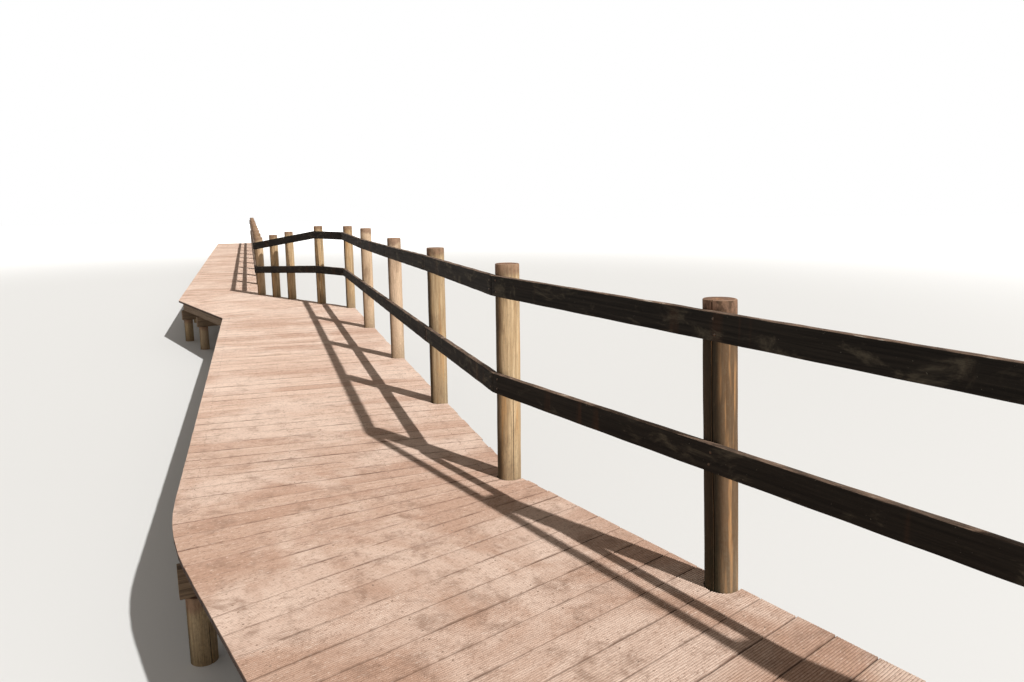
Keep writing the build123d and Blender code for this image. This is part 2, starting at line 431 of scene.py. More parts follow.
def notch(bar, centre):
    """Cuts a notch for a post out of a board, round at its inner end and open to the right."""
    mesh = bpy.data.meshes.new("notched_board")
    bar.to_mesh(mesh)
    board = new_object("notched_board", mesh)
    cutter = new_object("notch_cutter", notch_cutter_mesh)
    cutter.location = (*centre, 0)
    cut = board.modifiers.new("notch", "BOOLEAN")
    cut.operation = "DIFFERENCE"
    cut.solver = "MANIFOLD"
    cut.object = cutter
    evaluated = board.evaluated_get(bpy.context.evaluated_depsgraph_get())
    bar.clear()
    bar.from_mesh(evaluated.to_mesh())
    evaluated.to_mesh_clear()
    bpy.data.objects.remove(board)
    bpy.data.objects.remove(cutter)
    bpy.data.meshes.remove(mesh)


def add_board(timbers, screws, near_joint, far_joint, rng):
    """Adds the board between two joints, each given as its left and right end, and its screws."""
    origin, near_right = near_joint
    far_left, far_right = far_joint
    screw_places = []
    for share in SCREW_ROWS:
        left = origin + (far_left - origin) * share
        right = near_right + (far_right - near_right) * share
        screw_places += [joist.at(joist.meet(left, unit(right - left))) for joist in joist_lines]
    x_axis = unit(near_right - origin)
    y_axis = turned_left(x_axis)
    axes = np.array([x_axis, y_axis])
    corners = (near_right, far_left, far_right)
    near_right, far_left, far_right = [axes @ (corner - origin) for corner in corners]
    near_gap, far_gap = rng.uniform(*BOARD_GAPS, 2) / 2
    width = max(far_left[1], far_right[1]) - near_gap - far_gap
    start = min(0, far_left[0]) - UNCUT_PAST_ENDS
    end = max(near_right[0], far_right[0]) + UNCUT_PAST_ENDS
    section = [(near_gap + y, z) for y, z in board_section(width)]
    bar = bar_along_x(section, start, end, BOARD_SEGMENT)
    tapered = abs(far_left[1] - far_right[1]) > TAPER_LEFT_UNCUT
    if tapered:
        outward = turned_left(unit(far_right - far_left))
        trim(bar, far_left - outward * far_gap, outward)
    left_trim = np.array([rng.uniform(0, LEFT_END_SHORT), 0])
    trim(bar, left_trim, turned_left(unit(far_left)))
    right_trim = np.array([abs(rng.normal(0, RIGHT_END_SHORT)), 0])
    trim(bar, near_right - right_trim, -turned_left(unit(far_right - near_right)))
    bmesh.ops.recalc_face_normals(bar, faces=bar.faces[:])
    for post in [*stations, *bend_post_centres]:
        x, y = axes @ (post - origin)
        beside = -NOTCH_RADIUS < y < width + NOTCH_RADIUS
        if beside and abs(x - near_right[0]) < NOTCHED_FROM_END:
            notch(bar, (x, y))
    bar.verts.index_update()
    local = np.array([vert.co for vert in bar.verts])
    faces = [[vert.index for vert in face.verts] for face in bar.faces]
    bar.free()
    x, y, z = local.T
    warp = wobble(rng, *BOARD_WARP)
    tilt = rng.normal(0, BOARD_TILT)

    def surface(x, y):
        """Height of the board's top at a place on it."""
        return deck_top - np.maximum(BOARD_LOW + warp(x) + tilt * (y - width / 2), 0)

    points = np.column_stack([origin + local[:, :2] @ axes, surface(x, y) + z])
    for place in screw_places:
        place = place + rng.uniform(-SCREW_SHIFT, SCREW_SHIFT, 2)
        height = surface(*(axes @ (place - origin)))
        screws.drive(np.array([*place, height]), (tilt * -y_axis[0], tilt * -y_axis[1], 1))
    pith = (rng.uniform(*PITH_FROM_MIDDLE) + width / 2, rng.uniform(*PITH_BELOW_TOP))
    grain = np.column_stack([y - pith[0], z - pith[1], x + rng.uniform(0, FIBRE_START)])
    run, rise = far_right - far_left
    far_side = far_left[1] + rise * (x - far_left[0]) / run
    timbers.add(points, faces, grain, -z, rng.uniform(), np.minimum(y, far_side - y))


def board_joints(first, last):
    """The joints from one turn to another, as pairs of a left and a right end."""
    places = []
    for corner, past, heading in BOARD_TURNS[first:last + 1]:
        right = right_edge.along[corner] + past
        left = left_edge.meet(right_edge.at(right), rightward(heading))
        places.append((left, right, heading))
    joints = []
    for (left, right, heading), (next_left, next_right, next_heading) in zip(places, places[1:]):
        step = forward((heading + next_heading) / 2)
        advance = max(
            (left_edge.at(next_left) - left_edge.at(left)) @ step,
            (right_edge.at(next_right) - right_edge.at(right)) @ step,
        )
        boards = max(1, round(advance / BOARD_PITCH))
        for share in np.arange(boards) / boards:
            joints.append((
                left_edge.at(left + share * (next_left - left)),
                right_edge.at(right + share * (next_right - right)),
            ))
    joints.append((left_edge.at(places[-1][0]), right_edge.at(places[-1][1])))
    return joints


def board_piece(name, first, last, nodes, seed):
    """The boards between two turns, as one piece, and their screws as another."""
    rng = np.random.default_rng(seed)
    boards = Timbers()
    screws = Heads(SCREW_HEAD)
    joints = board_joints(first, last)
    for near_joint, far_joint in zip(joints, joints[1:]):
        add_board(boards, screws, near_joint, far_joint, rng)
    boards.piece(f"{name}_boards", deck_wood, "deck_boards", nodes)
    screws.piece(f"{name}_screws", dull_steel, "fasteners", [])


# Sawn timbers: rails, joists and bearers
SAWN_SPACING = 0.02
SAWN_WAVE = 0.35
SAWN_ENDS_WORN = 0.6
SAWN_DENTS = (90, 70, 23)
SAWN_PITH = ((-0.03, -0.16), (0.03, -0.06))


def sawn_section(width, height, edge):
    """A rectangle's outline with worn corners, as places across and heights."""
    corners = [(0, 0), (width, 0), (width, height), (0, height)]
    outline = []
    for number, (x, z) in enumerate(corners):
        before = np.array(corners[number - 1], float)
        after = np.array(corners[(number + 1) % 4], float)
        corner = np.array([x, z], float)
        into = unit(corner - before)
        out = unit(after - corner)
        rounding = edge * ARRIS_ROUNDING
        outline += [corner - into * edge, corner + (out - into) * rounding, corner + out * edge]
        face = np.linalg.norm(after - corner) - 2 * edge
        points = max(1, round(face / SAWN_SPACING))
        for share in np.arange(1, points) / points:
            outline.append(corner + out * (edge + face * share))
    return np.array(outline)


def add_sawn(timbers, corners, bottoms, height, rng, segment, edge=0.003, rough=0.0008):
    """Adds a timber that stands over four plan corners: inner near, inner far, outer far, outer
    near. Its bottom is given at its near and its far end."""
    inner_near, inner_far, outer_far, outer_near = corners
    length = np.linalg.norm((inner_far + outer_far - inner_near - outer_near) / 2)
    width = np.linalg.norm((outer_near + outer_far - inner_near - inner_far) / 2)
    section = sawn_section(width, height, edge)
    centre = np.array([width / 2, height / 2])
    steps = max(2, round(length / segment))
    shares = [0, edge / length, *np.linspace(0, 1, steps + 1)[1:-1], 1 - edge / length, 1]
    worn_and_sunlit = edge * SAWN_ENDS_WORN
    insets = [worn_and_sunlit] + [0] * (len(shares) - 2) + [worn_and_sunlit]
    side_wave, top_wave, *_ = [wobble(rng, rough, SAWN_WAVE) for _ in range(4)]
    pith = rng.uniform(*SAWN_PITH)
    start = rng.uniform(0, FIBRE_START)
    points = []
    grain = []
    for share, inset in zip(shares, insets):
        inward = np.sign(centre - section) * np.minimum(inset, np.abs(centre - section))
        place = section + inward
        along = share * length
        dents = [place[:, 0], place[:, 1], along]
        phase = sum(rate * way for rate, way in zip(SAWN_DENTS, dents))
        dent = 0.5 * rough * (1 + np.sin(phase))
        place = place + np.sign(centre - place) * dent[:, None]
        place[:, 0] -= np.abs(side_wave(along)) * np.sign(place[:, 0] - centre[0])
        place[:, 1] -= np.abs(top_wave(along)) * (place[:, 1] > centre[1])
        inner = inner_near + (inner_far - inner_near) * share
        outer = outer_near + (outer_far - outer_near) * share
        plan = inner + (outer - inner) * (place[:, :1] / width)
        bottom = bottoms[0] + (bottoms[1] - bottoms[0]) * share
        points.append(np.column_stack([plan, bottom + place[:, 1]]))
        grain.append(np.column_stack([place - centre - pith, np.full(len(place), along + start)]))
    faces = tube_faces(len(shares), len(section))
    timbers.add(np.concatenate(points), faces, np.concatenate(grain), 0, rng.uniform())


# Round timbers: rail posts and piles. Widths, depths and drops are in metres, and the checks'
# middles and reaches are shares of the log's height
LOG_ROW = 0.03
LOG_COLUMNS = 44
LOG_SHRUNK = 0.0016
LOG_TWIST = (0.03, 1.2)
LOG_BEND = (0.0004, 0.9)
LOG_BULGE = (0.0003, 0.25)
BULGE_SLANT = 0.02
LOBE_SIZES = (0.0002, 0.0006)
LOBE_COUNTS = (2, 3, 5)
CHECK_COLUMNS = (-1, -0.35, 0, 0.35, 1)
CHECK_WIDTHS = (0.0012, 0.0028)
CHECK_MIDDLES = (0.1, 1)
CHECK_REACHES = (0.2, 0.7)
CHECK_DEPTHS = (0.006, 0.014)
CHECKED_COLUMNS_CLEAR = 1.3
HOUSING_ROWS = (-0.0006, 0.0006)
HOUSING_DEEPER = 0.0005
HOUSING_PAST_JOINT = 0.002
LOG_TONES = (0, 0.6)
# Rings over a log's top, as shares of its radius and drops below its highest point
CROWN = ((1, 0.005), (0.985, 0.002), (0.95, 0.0006), (0.86, 0), (0.6, 0.0004), (0.3, 0.0008))


def add_log(
    timbers, centre, bottom, top, radius, rng, flats=(), checks=4, slope=(0, 0), tone=None, turn=0
):
    """Adds a log with drying checks down its sides. Each flat is a heading, the side of the
    centre that it belongs to, and the heights between which a plank is let in. The slope is how
    far the log leans for each metre above the deck, and the turn moves its checks round it."""
    height = top - bottom
    cracks = []
    angles = list(np.arange(LOG_COLUMNS) * 2 * pi / LOG_COLUMNS)
    for _ in range(checks):
        angle = (rng.uniform(0, 2 * pi) + turn) % (2 * pi)
        wide = rng.uniform(*CHECK_WIDTHS) / radius
        middle = rng.uniform(*CHECK_MIDDLES) * height
        reach = rng.uniform(*CHECK_REACHES) * height
        cracks.append((angle, wide, middle, reach, rng.uniform(*CHECK_DEPTHS)))
        clear = wide * CHECKED_COLUMNS_CLEAR
        angles = [a for a in angles if abs((a - angle + pi) % (2 * pi) - pi) > clear]
        angles += [angle + wide * place for place in CHECK_COLUMNS]
    angles = np.array(sorted(angles))
    housings = sorted({height for flat in flats for height in flat[2:]})
    levels = list(np.linspace(0, height, max(2, round(height / LOG_ROW)) + 1))
    levels += [edge - bottom + nudge for edge in housings for nudge in HOUSING_ROWS]
    levels = np.array(sorted(levels))
    twist = wobble(rng, *LOG_TWIST)
    bend = [wobble(rng, *LOG_BEND) for _ in range(2)]
    lobes = [(rng.uniform(*LOBE_SIZES), count, rng.uniform(0, 2 * pi)) for count in LOBE_COUNTS]
    bulge = wobble(rng, *LOG_BULGE)
    full = radius - LOG_SHRUNK
    points = []
    grain = []
    depths = []
    start = rng.uniform(0, FIBRE_START)
    slope = np.array(slope)

    def ring(level, share, drop):
        """One ring of points at a height, drawn in to a share of the radius."""
        angle = angles + twist(level)
        out = full + sum(size * np.sin(count * angle + phase) for size, count, phase in lobes)
        out = out + bulge(level + BULGE_SLANT * np.sin(angle))
        depth = np.zeros(len(angles))
        for place, wide, middle, reach, deep in cracks:
            nearness = 1 - np.abs((angles - place + pi) % (2 * pi) - pi) / wide
            fade = max(0, 1 - abs(level - middle) / reach) ** 0.5
            depth = np.maximum(depth, np.clip(nearness, 0, 1) ** 0.7 * deep * fade)
        r = (out - depth) * share
        x = r * np.cos(angle) + bend[0](level)
        y = r * np.sin(angle) + bend[1](level)
        z = np.full(len(angles), level - drop)
        for heading, side, low, high in flats:
            if low < bottom + level < high:
                left = -rightward(heading)
                ahead = forward(heading)
                beyond = (x * left[0] + y * left[1]) - (RAIL_BACK - HOUSING_DEEPER)
                on_side = (x * ahead[0] + y * ahead[1]) * side >= -HOUSING_PAST_JOINT
                cut = np.where(on_side, np.maximum(beyond, 0), 0)
                x = x - cut * left[0]
                y = y - cut * left[1]
        leaned = centre + slope * (bottom + level - deck_top)
        points.append(np.column_stack([x + leaned[0], y + leaned[1], z + bottom]))
        grain.append(np.column_stack([x, y, z + start]))
        depths.append(depth)

    for level in levels[:-1]:
        ring(level, 1, 0)
    for share, drop in CROWN:
        ring(height, share, drop)
    faces = tube_faces(len(points), len(angles))
    points = np.concatenate(points)
    grain = np.concatenate(grain)
    tone = rng.uniform(*LOG_TONES) if tone is None else tone
    timbers.add(points, faces, grain, np.concatenate(depths), tone, top - points[:, 2])


# Materials
SPECULAR = 0.15


def colour(red, green, blue):
    """A colour given as it shows on screen, from 0 to 255."""
    shown = np.array([red, green, blue]) / 255
    linear = np.where(shown <= 0.04045, shown / 12.92, ((shown + 0.055) / 1.055) ** 2.4)
    return (*linear, 1)


class Paint:
    """A material, with short calls that add its nodes. Its body is the colour so far."""

    def __init__(self, name):
        self.material = bpy.data.materials.new(name)
        self.material.use_nodes = True
        self.tree = self.material.node_tree
        self.shader = self.tree.nodes["Principled BSDF"]

    def node(self, kind, inputs, output=0, **settings):
        node = self.tree.nodes.new("ShaderNode" + kind)
        for name, value in settings.items():
            setattr(node, name, value)
        self.feed(node, inputs)
        return node.outputs[output]

    def feed(self, node, inputs):
        """Links or sets inputs, which are given by name or number."""
        for name, value in inputs.items():
            if isinstance(value, bpy.types.NodeSocket):
                self.tree.links.new(value, node.inputs[name])
            else:
                node.inputs[name].default_value = value

    def read(self, name, output="Fac"):
        return self.node("Attribute", {}, output, attribute_name=name)

    def place(self):
        return self.node("TexCoord", {}, "Object")

    def facing(self):
        return self.node("NewGeometry", {}, "Normal")

    def part(self, vector, axis):
        return self.node("SeparateXYZ", {0: vector}, axis)

    def stretched(self, vector, sizes):
        return self.node("VectorMath", {0: vector, 1: sizes}, operation="MULTIPLY")

    def noise(self, vector, scale, detail, roughness=0.55, distortion=0):
        inputs = {
            "Vector": vector,
            "Scale": scale,
            "Detail": detail,
            "Roughness": roughness,
            "Distortion": distortion,
        }
        return self.node("TexNoise", inputs)

    def grained(self, grain, across, along, detail, roughness, distortion=0):
        """Noise with so many turns to the metre across and along the grain."""
        turns = self.stretched(grain, (across, across, along))
        return self.noise(turns, 1, detail, roughness, distortion)

    def times(self, first, second):
        return self.node("Math", {0: first, 1: second}, operation="MULTIPLY")

    def plus(self, first, second):
        return self.node("Math", {0: first, 1: second}, operation="ADD")

    def ease(self, value, low, high, to_low=0.0, to_high=1.0):
        """Eases a value from one range into another."""
        inputs = {
            "Value": value,
            "From Min": low,
            "From Max": high,
            "To Min": to_low,
            "To Max": to_high,
        }
        return self.node("MapRange", inputs, interpolation_type="SMOOTHSTEP")

    def mix(self, share, first, second):
        return self.node("Mix", {0: share, 6: first, 7: second}, 2, data_type="RGBA")

    def coat(self, share, *shown):
        """Lays a colour over a share of the body."""
        self.body = self.mix(share, self.body, colour(*shown))

    def finish(self, roughness, bump, strength, distance):
        bumped = self.node("Bump", {"Height": bump, "Strength": strength, "Distance": distance})
        self.feed(self.shader, {
            "Base Color": self.body,
            "Roughness": roughness,
            "Specular IOR Level": SPECULAR,
            "Normal": bumped,
        })
        return self.material


# Painted shade of trees makes boards more brown at the walk's near end, and no more so past the
# second of these places, over which the stains grow fainter too
NEAR_SHADE_AND_STAINS_Y = (stations[1][1], stations[3][1] + 1)


def make_deck_wood():
    """Grooved boards, pinkish tan and dusty on the ribs, darker in the grooves, with dirt along
    the joints and painted shade down the boards' sides and ends.
    """
    wood = Paint("deck_wood")
    grain = wood.read("grain", "Vector")
    tone = wood.read("tone")
    depth = wood.read("depth")
    edge = wood.read("edge")
    place = wood.place()
    streaks = wood.grained(grain, 45, 1.1, 4, 0.6)
    fibres = wood.grained(grain, 420, 9, 3, 0.6)
    dust = wood.noise(place, 1.4, 5, 0.6, 0.5)
    stains = wood.noise(place, 9, 6, 0.7, 0.3)
    grit = wood.grained(grain, 150, 55, 3, 0.7)
    streaked = wood.ease(streaks, 0.3, 0.7)
    wood.body = wood.mix(streaked, colour(213, 181, 160), colour(234, 207, 187))
    wood.coat(wood.ease(tone, 0.3, 1, 0, 0.6), 190, 152, 130)
    # Painted shade of trees: boards more brown toward the walk's near end, with a ragged edge
    along = wood.part(place, 1)
    near_shade_and_stains = wood.plus(along, wood.ease(dust, 0.3, 0.7, 1, -1))
    wood.coat(wood.ease(near_shade_and_stains, *NEAR_SHADE_AND_STAINS_Y, 0.7, 0), 182, 145, 122)
    wood.coat(wood.ease(dust, 0.44, 0.62, 0, 0.6), 241, 218, 200)
    stained = wood.ease(near_shade_and_stains, *NEAR_SHADE_AND_STAINS_Y, 0.65, 0.3)
    stained = wood.times(wood.ease(stains, 0.48, 0.7), stained)
    wood.coat(stained, 148, 119, 101)
    wood.coat(wood.ease(grit, 0.54, 0.68, 0, 0.65), 136, 106, 88)
    wood.coat(wood.ease(grit, 0.42, 0.3, 0, 0.5), 247, 229, 212)
    wood.coat(wood.ease(fibres, 0.34, 0.55, 0.22, 0), 130, 96, 78)
    joint_dirt = wood.grained(grain, 1, 3, 4, 0.7)
    joint_dirt = wood.ease(joint_dirt, 0.44, 0.64, 0, 0.8)
    by_joint = wood.times(wood.ease(edge, 0.001, 0.012, 1, 0), joint_dirt)
    wood.coat(by_joint, 92, 68, 54)
    # Darker in the grooves
    in_groove = wood.ease(depth, 0.0003, 0.0013, 0, 0.5)
    wood.coat(in_groove, 118, 86, 68)
    # Painted shade down the boards' sides and ends, in the gaps between them
    wood.coat(wood.ease(depth, 0.003, 0.009, 0, 0.9), 50, 37, 31)
    rough = wood.ease(streaks, 0.3, 0.7, 0.92, 0.8)
    bump = wood.plus(fibres, wood.times(grit, 1.5))
    return wood.finish(rough, bump, 0.4, 0.0006)


# The sun's level direction, which the posts' painted sunlight and shade follow
SUNNY_SIDE = (0.72, -0.69, 0)
YEAR_RING = 0.0045


def make_post_wood():
    """Round posts, yellowish tan with dark streaks and checks. Painted shade darkens the side away
    from the sun, painted sunlight gilds the darker posts' other side, the foot is grey and the top
    above the rail is brown."""
    wood = Paint("post_wood")
    grain = wood.read("grain", "Vector")
    tone = wood.read("tone")
    depth = wood.read("depth")
    below_top = wood.read("edge")
    place = wood.place()
    height = wood.part(place, 2)
    facing = wood.facing()
    up = wood.part(facing, 2)
    sunny = {0: facing, 1: SUNNY_SIDE}
    sunward = wood.node("VectorMath", sunny, "Value", operation="DOT_PRODUCT")
    streaks = wood.grained(grain, 70, 2.2, 4, 0.6, 0.3)
    wide_streaks = wood.grained(grain, 26, 1.6, 4, 0.6, 0.4)
    fibres = wood.grained(grain, 500, 11, 3, 0.6)
    patches = wood.grained(grain, 14, 4, 4, 0.6)
    grit = wood.grained(grain, 160, 60, 4, 0.7)
    streaked = wood.ease(streaks, 0.32, 0.68)
    wood.body = wood.mix(streaked, colour(176, 146, 108), colour(216, 188, 148))
    wood.coat(wood.ease(wide_streaks, 0.52, 0.7, 0, 0.75), 198, 148, 92)
    wood.coat(wood.ease(tone, 0.25, 0, 0, 0.65), 220, 190, 164)
    wood.coat(wood.ease(tone, 0.45, 1, 0, 0.9), 88, 66, 47)
    wood.coat(wood.ease(patches, 0.5, 0.7, 0, 0.55), 134, 106, 80)
    # Painted sunlight: a warm gold on the darker posts' side toward the sun
    painted_sunlit_gold = wood.times(wood.ease(wide_streaks, 0.5, 0.62), wood.ease(tone, 0.6, 1, 0, 0.85))
    painted_sunlit_gold = wood.times(painted_sunlit_gold, wood.ease(sunward, 0.1, 0.7))
    wood.coat(painted_sunlit_gold, 190, 144, 98)
    # Painted shade on the side turned away from the sun, stronger on the darker posts
    turned_away = wood.plus(sunward, wood.times(patches, -0.5))
    turned_away = wood.plus(turned_away, wood.ease(tone, 0.5, 1, 0, -0.3))
    painted_shade = wood.times(wood.ease(turned_away, 0.15, -0.45), wood.ease(tone, 0, 1, 0.5, 0.97))
    wood.coat(painted_shade, 40, 35, 26)
    # More painted shade, darkening the side from where it turns away from the sun
    painted_deep_shade = wood.plus(sunward, wood.ease(patches, 0.3, 0.7, 0.08, -0.08))
    painted_deep_shade = wood.times(wood.ease(painted_deep_shade, 0, -0.3), wood.ease(tone, 0, 0.3, 0.4, 0.85))
    wood.coat(painted_deep_shade, 52, 42, 32)
    feet = wood.ease(height, deck_top + 0.3, deck_top - 0.02, 0, 0.5)
    feet = wood.plus(feet, wood.ease(grit, 0.4, 0.65, -0.15, 0.2))
    # The grey foot, darker in the painted shade
    wood.body = wood.mix(feet, wood.body, wood.mix(painted_shade, colour(132, 118, 96), colour(56, 54, 36)))
    crown = wood.plus(below_top, wood.ease(patches, 0.3, 0.7, -0.02, 0.02))
    blotches = wood.grained(grain, 34, 22, 4, 0.7)
    blotched = wood.times(wood.ease(blotches, 0.42, 0.6), wood.ease(tone, 0.1, 1, 0.45, 1))
    crown_colour = wood.mix(blotched, colour(148, 114, 93), colour(86, 66, 54))
    wood.body = wood.mix(wood.ease(crown, 0.07, 0.03, 0, 0.75), wood.body, crown_colour)
    wood.coat(wood.ease(fibres, 0.35, 0.55, 0.35, 0), 92, 68, 48)
    wood.coat(wood.ease(grit, 0.62, 0.74, 0, 0.5), 98, 76, 56)
    wood.coat(wood.ease(depth, 0.0004, 0.003, 0, 0.92), 44, 32, 24)
    flat = wood.stretched(grain, (1, 1, 0))
    pith = wood.node("VectorMath", {0: flat}, "Value", operation="LENGTH")
    rings = wood.times(wood.plus(pith, wood.times(patches, 0.006)), 2 * pi / YEAR_RING)
    rings = wood.node("Math", {0: rings}, operation="SINE")
    end_grain = wood.mix(wood.ease(rings, -0.6, 0.9), colour(104, 78, 62), colour(142, 110, 88))
    end_grain = wood.mix(wood.ease(patches, 0.5, 0.62, 0, 0.7), end_grain, colour(188, 140, 100))
    end_grain = wood.mix(wood.ease(pith, 0.05, 0.057), end_grain, colour(160, 130, 108))
    wood.body = wood.mix(wood.ease(up, 0.6, 0.9), wood.body, end_grain)
    rough = wood.ease(streaks, 0.3, 0.7, 0.9, 0.75)
    bump = wood.plus(fibres, wood.times(streaks, 2))
    return wood.finish(rough, bump, 0.7, 0.001)


def make_rail_wood():
    """Rail planks, almost black, with pale smudges, specks, faint rust runs and pale top faces,
    from wear and dust together with a painted sunlit highlight.
    """
    wood = Paint("rail_wood")
    grain = wood.read("grain", "Vector")
    tone = wood.read("tone")
    place = wood.place()
    up = wood.part(wood.facing(), 2)
    streaks = wood.grained(grain, 80, 2, 4, 0.6, 0.3)
    fibres = wood.grained(grain, 480, 12, 3, 0.6)
    smudges = wood.grained(grain, 14, 6, 5, 0.65, 0.6)
    specks = wood.noise(place, 95, 3, 0.7)
    runs = wood.noise(wood.stretched(place, (9, 9, 0.8)), 1, 3, 0.6)
    wear = wood.grained(grain, 30, 11, 5, 0.7, 0.4)
    wood.body = wood.mix(wood.ease(streaks, 0.3, 0.7), colour(24, 22, 20), colour(42, 38, 33))
    wood.coat(wood.ease(tone, 0, 1, 0, 0.4), 46, 38, 30)
    wood.coat(wood.ease(runs, 0.58, 0.7, 0, 0.35), 80, 54, 38)
    wood.coat(wood.ease(smudges, 0.52, 0.72, 0, 0.55), 106, 99, 85)
    wood.coat(wood.ease(fibres, 0.35, 0.5, 0.4, 0), 18, 16, 14)
    wood.coat(wood.ease(specks, 0.7, 0.76, 0, 0.6), 168, 162, 148)
    # Pale top faces, from wear and dust together with a painted sunlit highlight
    worn_and_sunlit = wood.times(wood.ease(up, 0.25, 0.7), wood.ease(wear, 0.36, 0.6, 0.3, 0.9))
    pale = wood.mix(wood.ease(fibres, 0.35, 0.65), colour(100, 78, 64), colour(158, 132, 112))
    pale = wood.mix(wood.ease(wear, 0.58, 0.66, 0, 0.7), pale, colour(205, 192, 176))
    wood.body = wood.mix(worn_and_sunlit, wood.body, pale)
    rough = wood.ease(streaks, 0.3, 0.7, 0.95, 0.85)
    bump = wood.plus(fibres, wood.times(streaks, 2))
    return wood.finish(rough, bump, 0.6, 0.0008)


def make_framing_wood():
    """Sawn framing, weathered grey brown."""
    wood = Paint("framing_wood")
    grain = wood.read("grain", "Vector")
    tone = wood.read("tone")
    streaks = wood.grained(grain, 80, 2, 4, 0.6, 0.3)
    fibres = wood.grained(grain, 450, 14, 3, 0.6)
    wood.body = wood.mix(wood.ease(streaks, 0.3, 0.7), colour(96, 78, 62), colour(146, 122, 98))
    wood.coat(wood.ease(tone, 0, 1, 0, 0.5), 118, 100, 82)
    wood.coat(wood.ease(fibres, 0.35, 0.55, 0.4, 0), 66, 52, 42)
    rough = wood.ease(streaks, 0.3, 0.7, 0.9, 0.75)
    bump = wood.plus(fibres, wood.times(streaks, 2))
    return wood.finish(rough, bump, 0.6, 0.0009)


def make_dull_steel():
    """Weathered screw and nail heads, grey brown with rust, and dusty where they face up."""
    steel = Paint("dull_steel")
    spots = steel.noise(steel.place(), 300, 3)
    up = steel.part(steel.facing(), 2)
    steel.body = steel.mix(steel.ease(spots, 0.4, 0.6), colour(92, 84, 76), colour(94, 68, 50))
    steel.coat(steel.ease(up, 0.5, 0.9, 0, 0.75), 176, 146, 126)
    steel.feed(steel.shader, {"Metallic": steel.ease(up, 0.5, 0.9, 0.6, 0.1)})
    return steel.finish(steel.ease(spots, 0.4, 0.6, 0.45, 0.8), spots, 0.3, 0.0003)


deck_wood = make_deck_wood()
post_wood = make_post_wood()
rail_wood = make_rail_wood()
framing_wood = make_framing_wood()
dull_steel = make_dull_steel()

# The deck
board_piece("near_a", 0, 3, ["deck_panel_1", "deck_panel_2", "deck_panel_3"], 1)
board_piece("near_b", 3, 5, ["deck_panel_4", "deck_panel_5", "deck_panel_6"], 2)
board_piece("bend", 5, 8, ["deck_panel_bend"], 3)
board_piece("far", 8, 10, [f"far_deck_panel_{number}" for number in (1, 2, 3)], 4)

# The rails. Their line has the bend's first post in it, where the bend's two planks meet, and the
# first plank runs on over two bays
bend_joint = bend_bay + 1
rail_points = [*stations[:bend_joint], bend_post_centres[0], *stations[bend_joint:]]
rail_headings = [*bay_headings[:bend_joint], *bay_headings[bend_bay:]]
last_rail_point = len(rail_headings)
rail_planks = {
    "near": [(0, 2), (2, 3), (3, 4), (4, 5), (5, 6)],
    "bend": [(bend_bay, bend_joint), (bend_joint, bend_joint + 1)],
    "far": [(point, point + 1) for point in range(bend_joint + 1, last_rail_point)],
}


def rail_bottom(level, point):
    """Height of a rail's lower edge at a point of the rail line, or part of the way to the next."""
    heights = RAILS_ABOVE_DECK[level]
    return deck_top - RAIL_DEPTH + np.interp(point, range(len(heights)), heights)


def plank_corners(start, end):
    """Plan corners of the rail plank from one rail point to another."""
    near_end = -POST_RADIUS if start == 0 else RAIL_GAP / 2
    far_end = -POST_RADIUS if end == last_rail_point else RAIL_GAP / 2
    back = (RAIL_BACK, RAIL_BACK)
    face = (RAIL_BACK + RAIL_THICKNESS, RAIL_BACK + RAIL_THICKNESS)
    return strip(start, end, back, face, near_end, far_end, (rail_points, rail_headings))


# Nails, in pairs one above the other
NAIL_HEIGHTS = (0.027, 0.074)
NAIL_FROM_JOINT = 0.028
NAIL_SHIFT = 0.005
NAIL_SIDES = 10
NAIL_HEAD = ((0.0048, -0.002), (0.0048, 0.0006), (0.004, 0.0014), (0.002, 0.0018))


def plank_nails(start, end):
    """A plank's length from rail point to rail point, and where along it the nails are."""
    length = np.linalg.norm(rail_points[end] - rail_points[start])
    crossed = [stations[point] for point in range(start + 1, end)]
    if start == bend_joint:
        crossed = bend_post_centres[1:]
    between = [np.linalg.norm(post - rail_points[start]) for post in crossed]
    return length, [NAIL_FROM_JOINT, *between, length - NAIL_FROM_JOINT]


def nail_plank(nails, level, start, end, rng):
    """Adds the nails of one plank."""
    length, places = plank_nails(start, end)
    ahead = forward(rail_headings[start])
    leftward = -rightward(rail_headings[start])
    for along in places:
        point = rail_points[start] + ahead * along + leftward * (RAIL_BACK + RAIL_THICKNESS)
        bottom = rail_bottom(level, start)
        bottom += (rail_bottom(level, end) - bottom) * along / length
        for height in NAIL_HEIGHTS:
            shift = rng.uniform(-NAIL_SHIFT, NAIL_SHIFT, 2)
            place = point + ahead * shift[0]
            nails.drive(np.array([*place, bottom + height + shift[1]]), (*leftward, 0))


PLANK_FINISH = {"edge": 0.004, "rough": 0.0007, "segment": 0.04}

rail_rng = np.random.default_rng(20)
nail_rng = np.random.default_rng(25)
for level in RAILS_ABOVE_DECK:
    for run, ends in rail_planks.items():
        planks = Timbers()
        nails = Heads(NAIL_HEAD, NAIL_SIDES)
        for start, end in ends:
            nail_plank(nails, level, start, end, nail_rng)
            corners = plank_corners(start, end)
            bottoms = (rail_bottom(level, start), rail_bottom(level, end))
            add_sawn(planks, corners, bottoms, RAIL_DEPTH, rail_rng, **PLANK_FINISH)
        nodes = [f"{run}_{level}_rail"]
        if run == "near":
            nodes = [f"{level}_rail_{number + 1}" for number in range(len(ends))]
        planks.piece(f"{run}_{level}_rail_planks", rail_wood, "rail_planks", nodes)
        nails.piece(f"{run}_{level}_rail_nails", dull_steel, "fasteners", [])


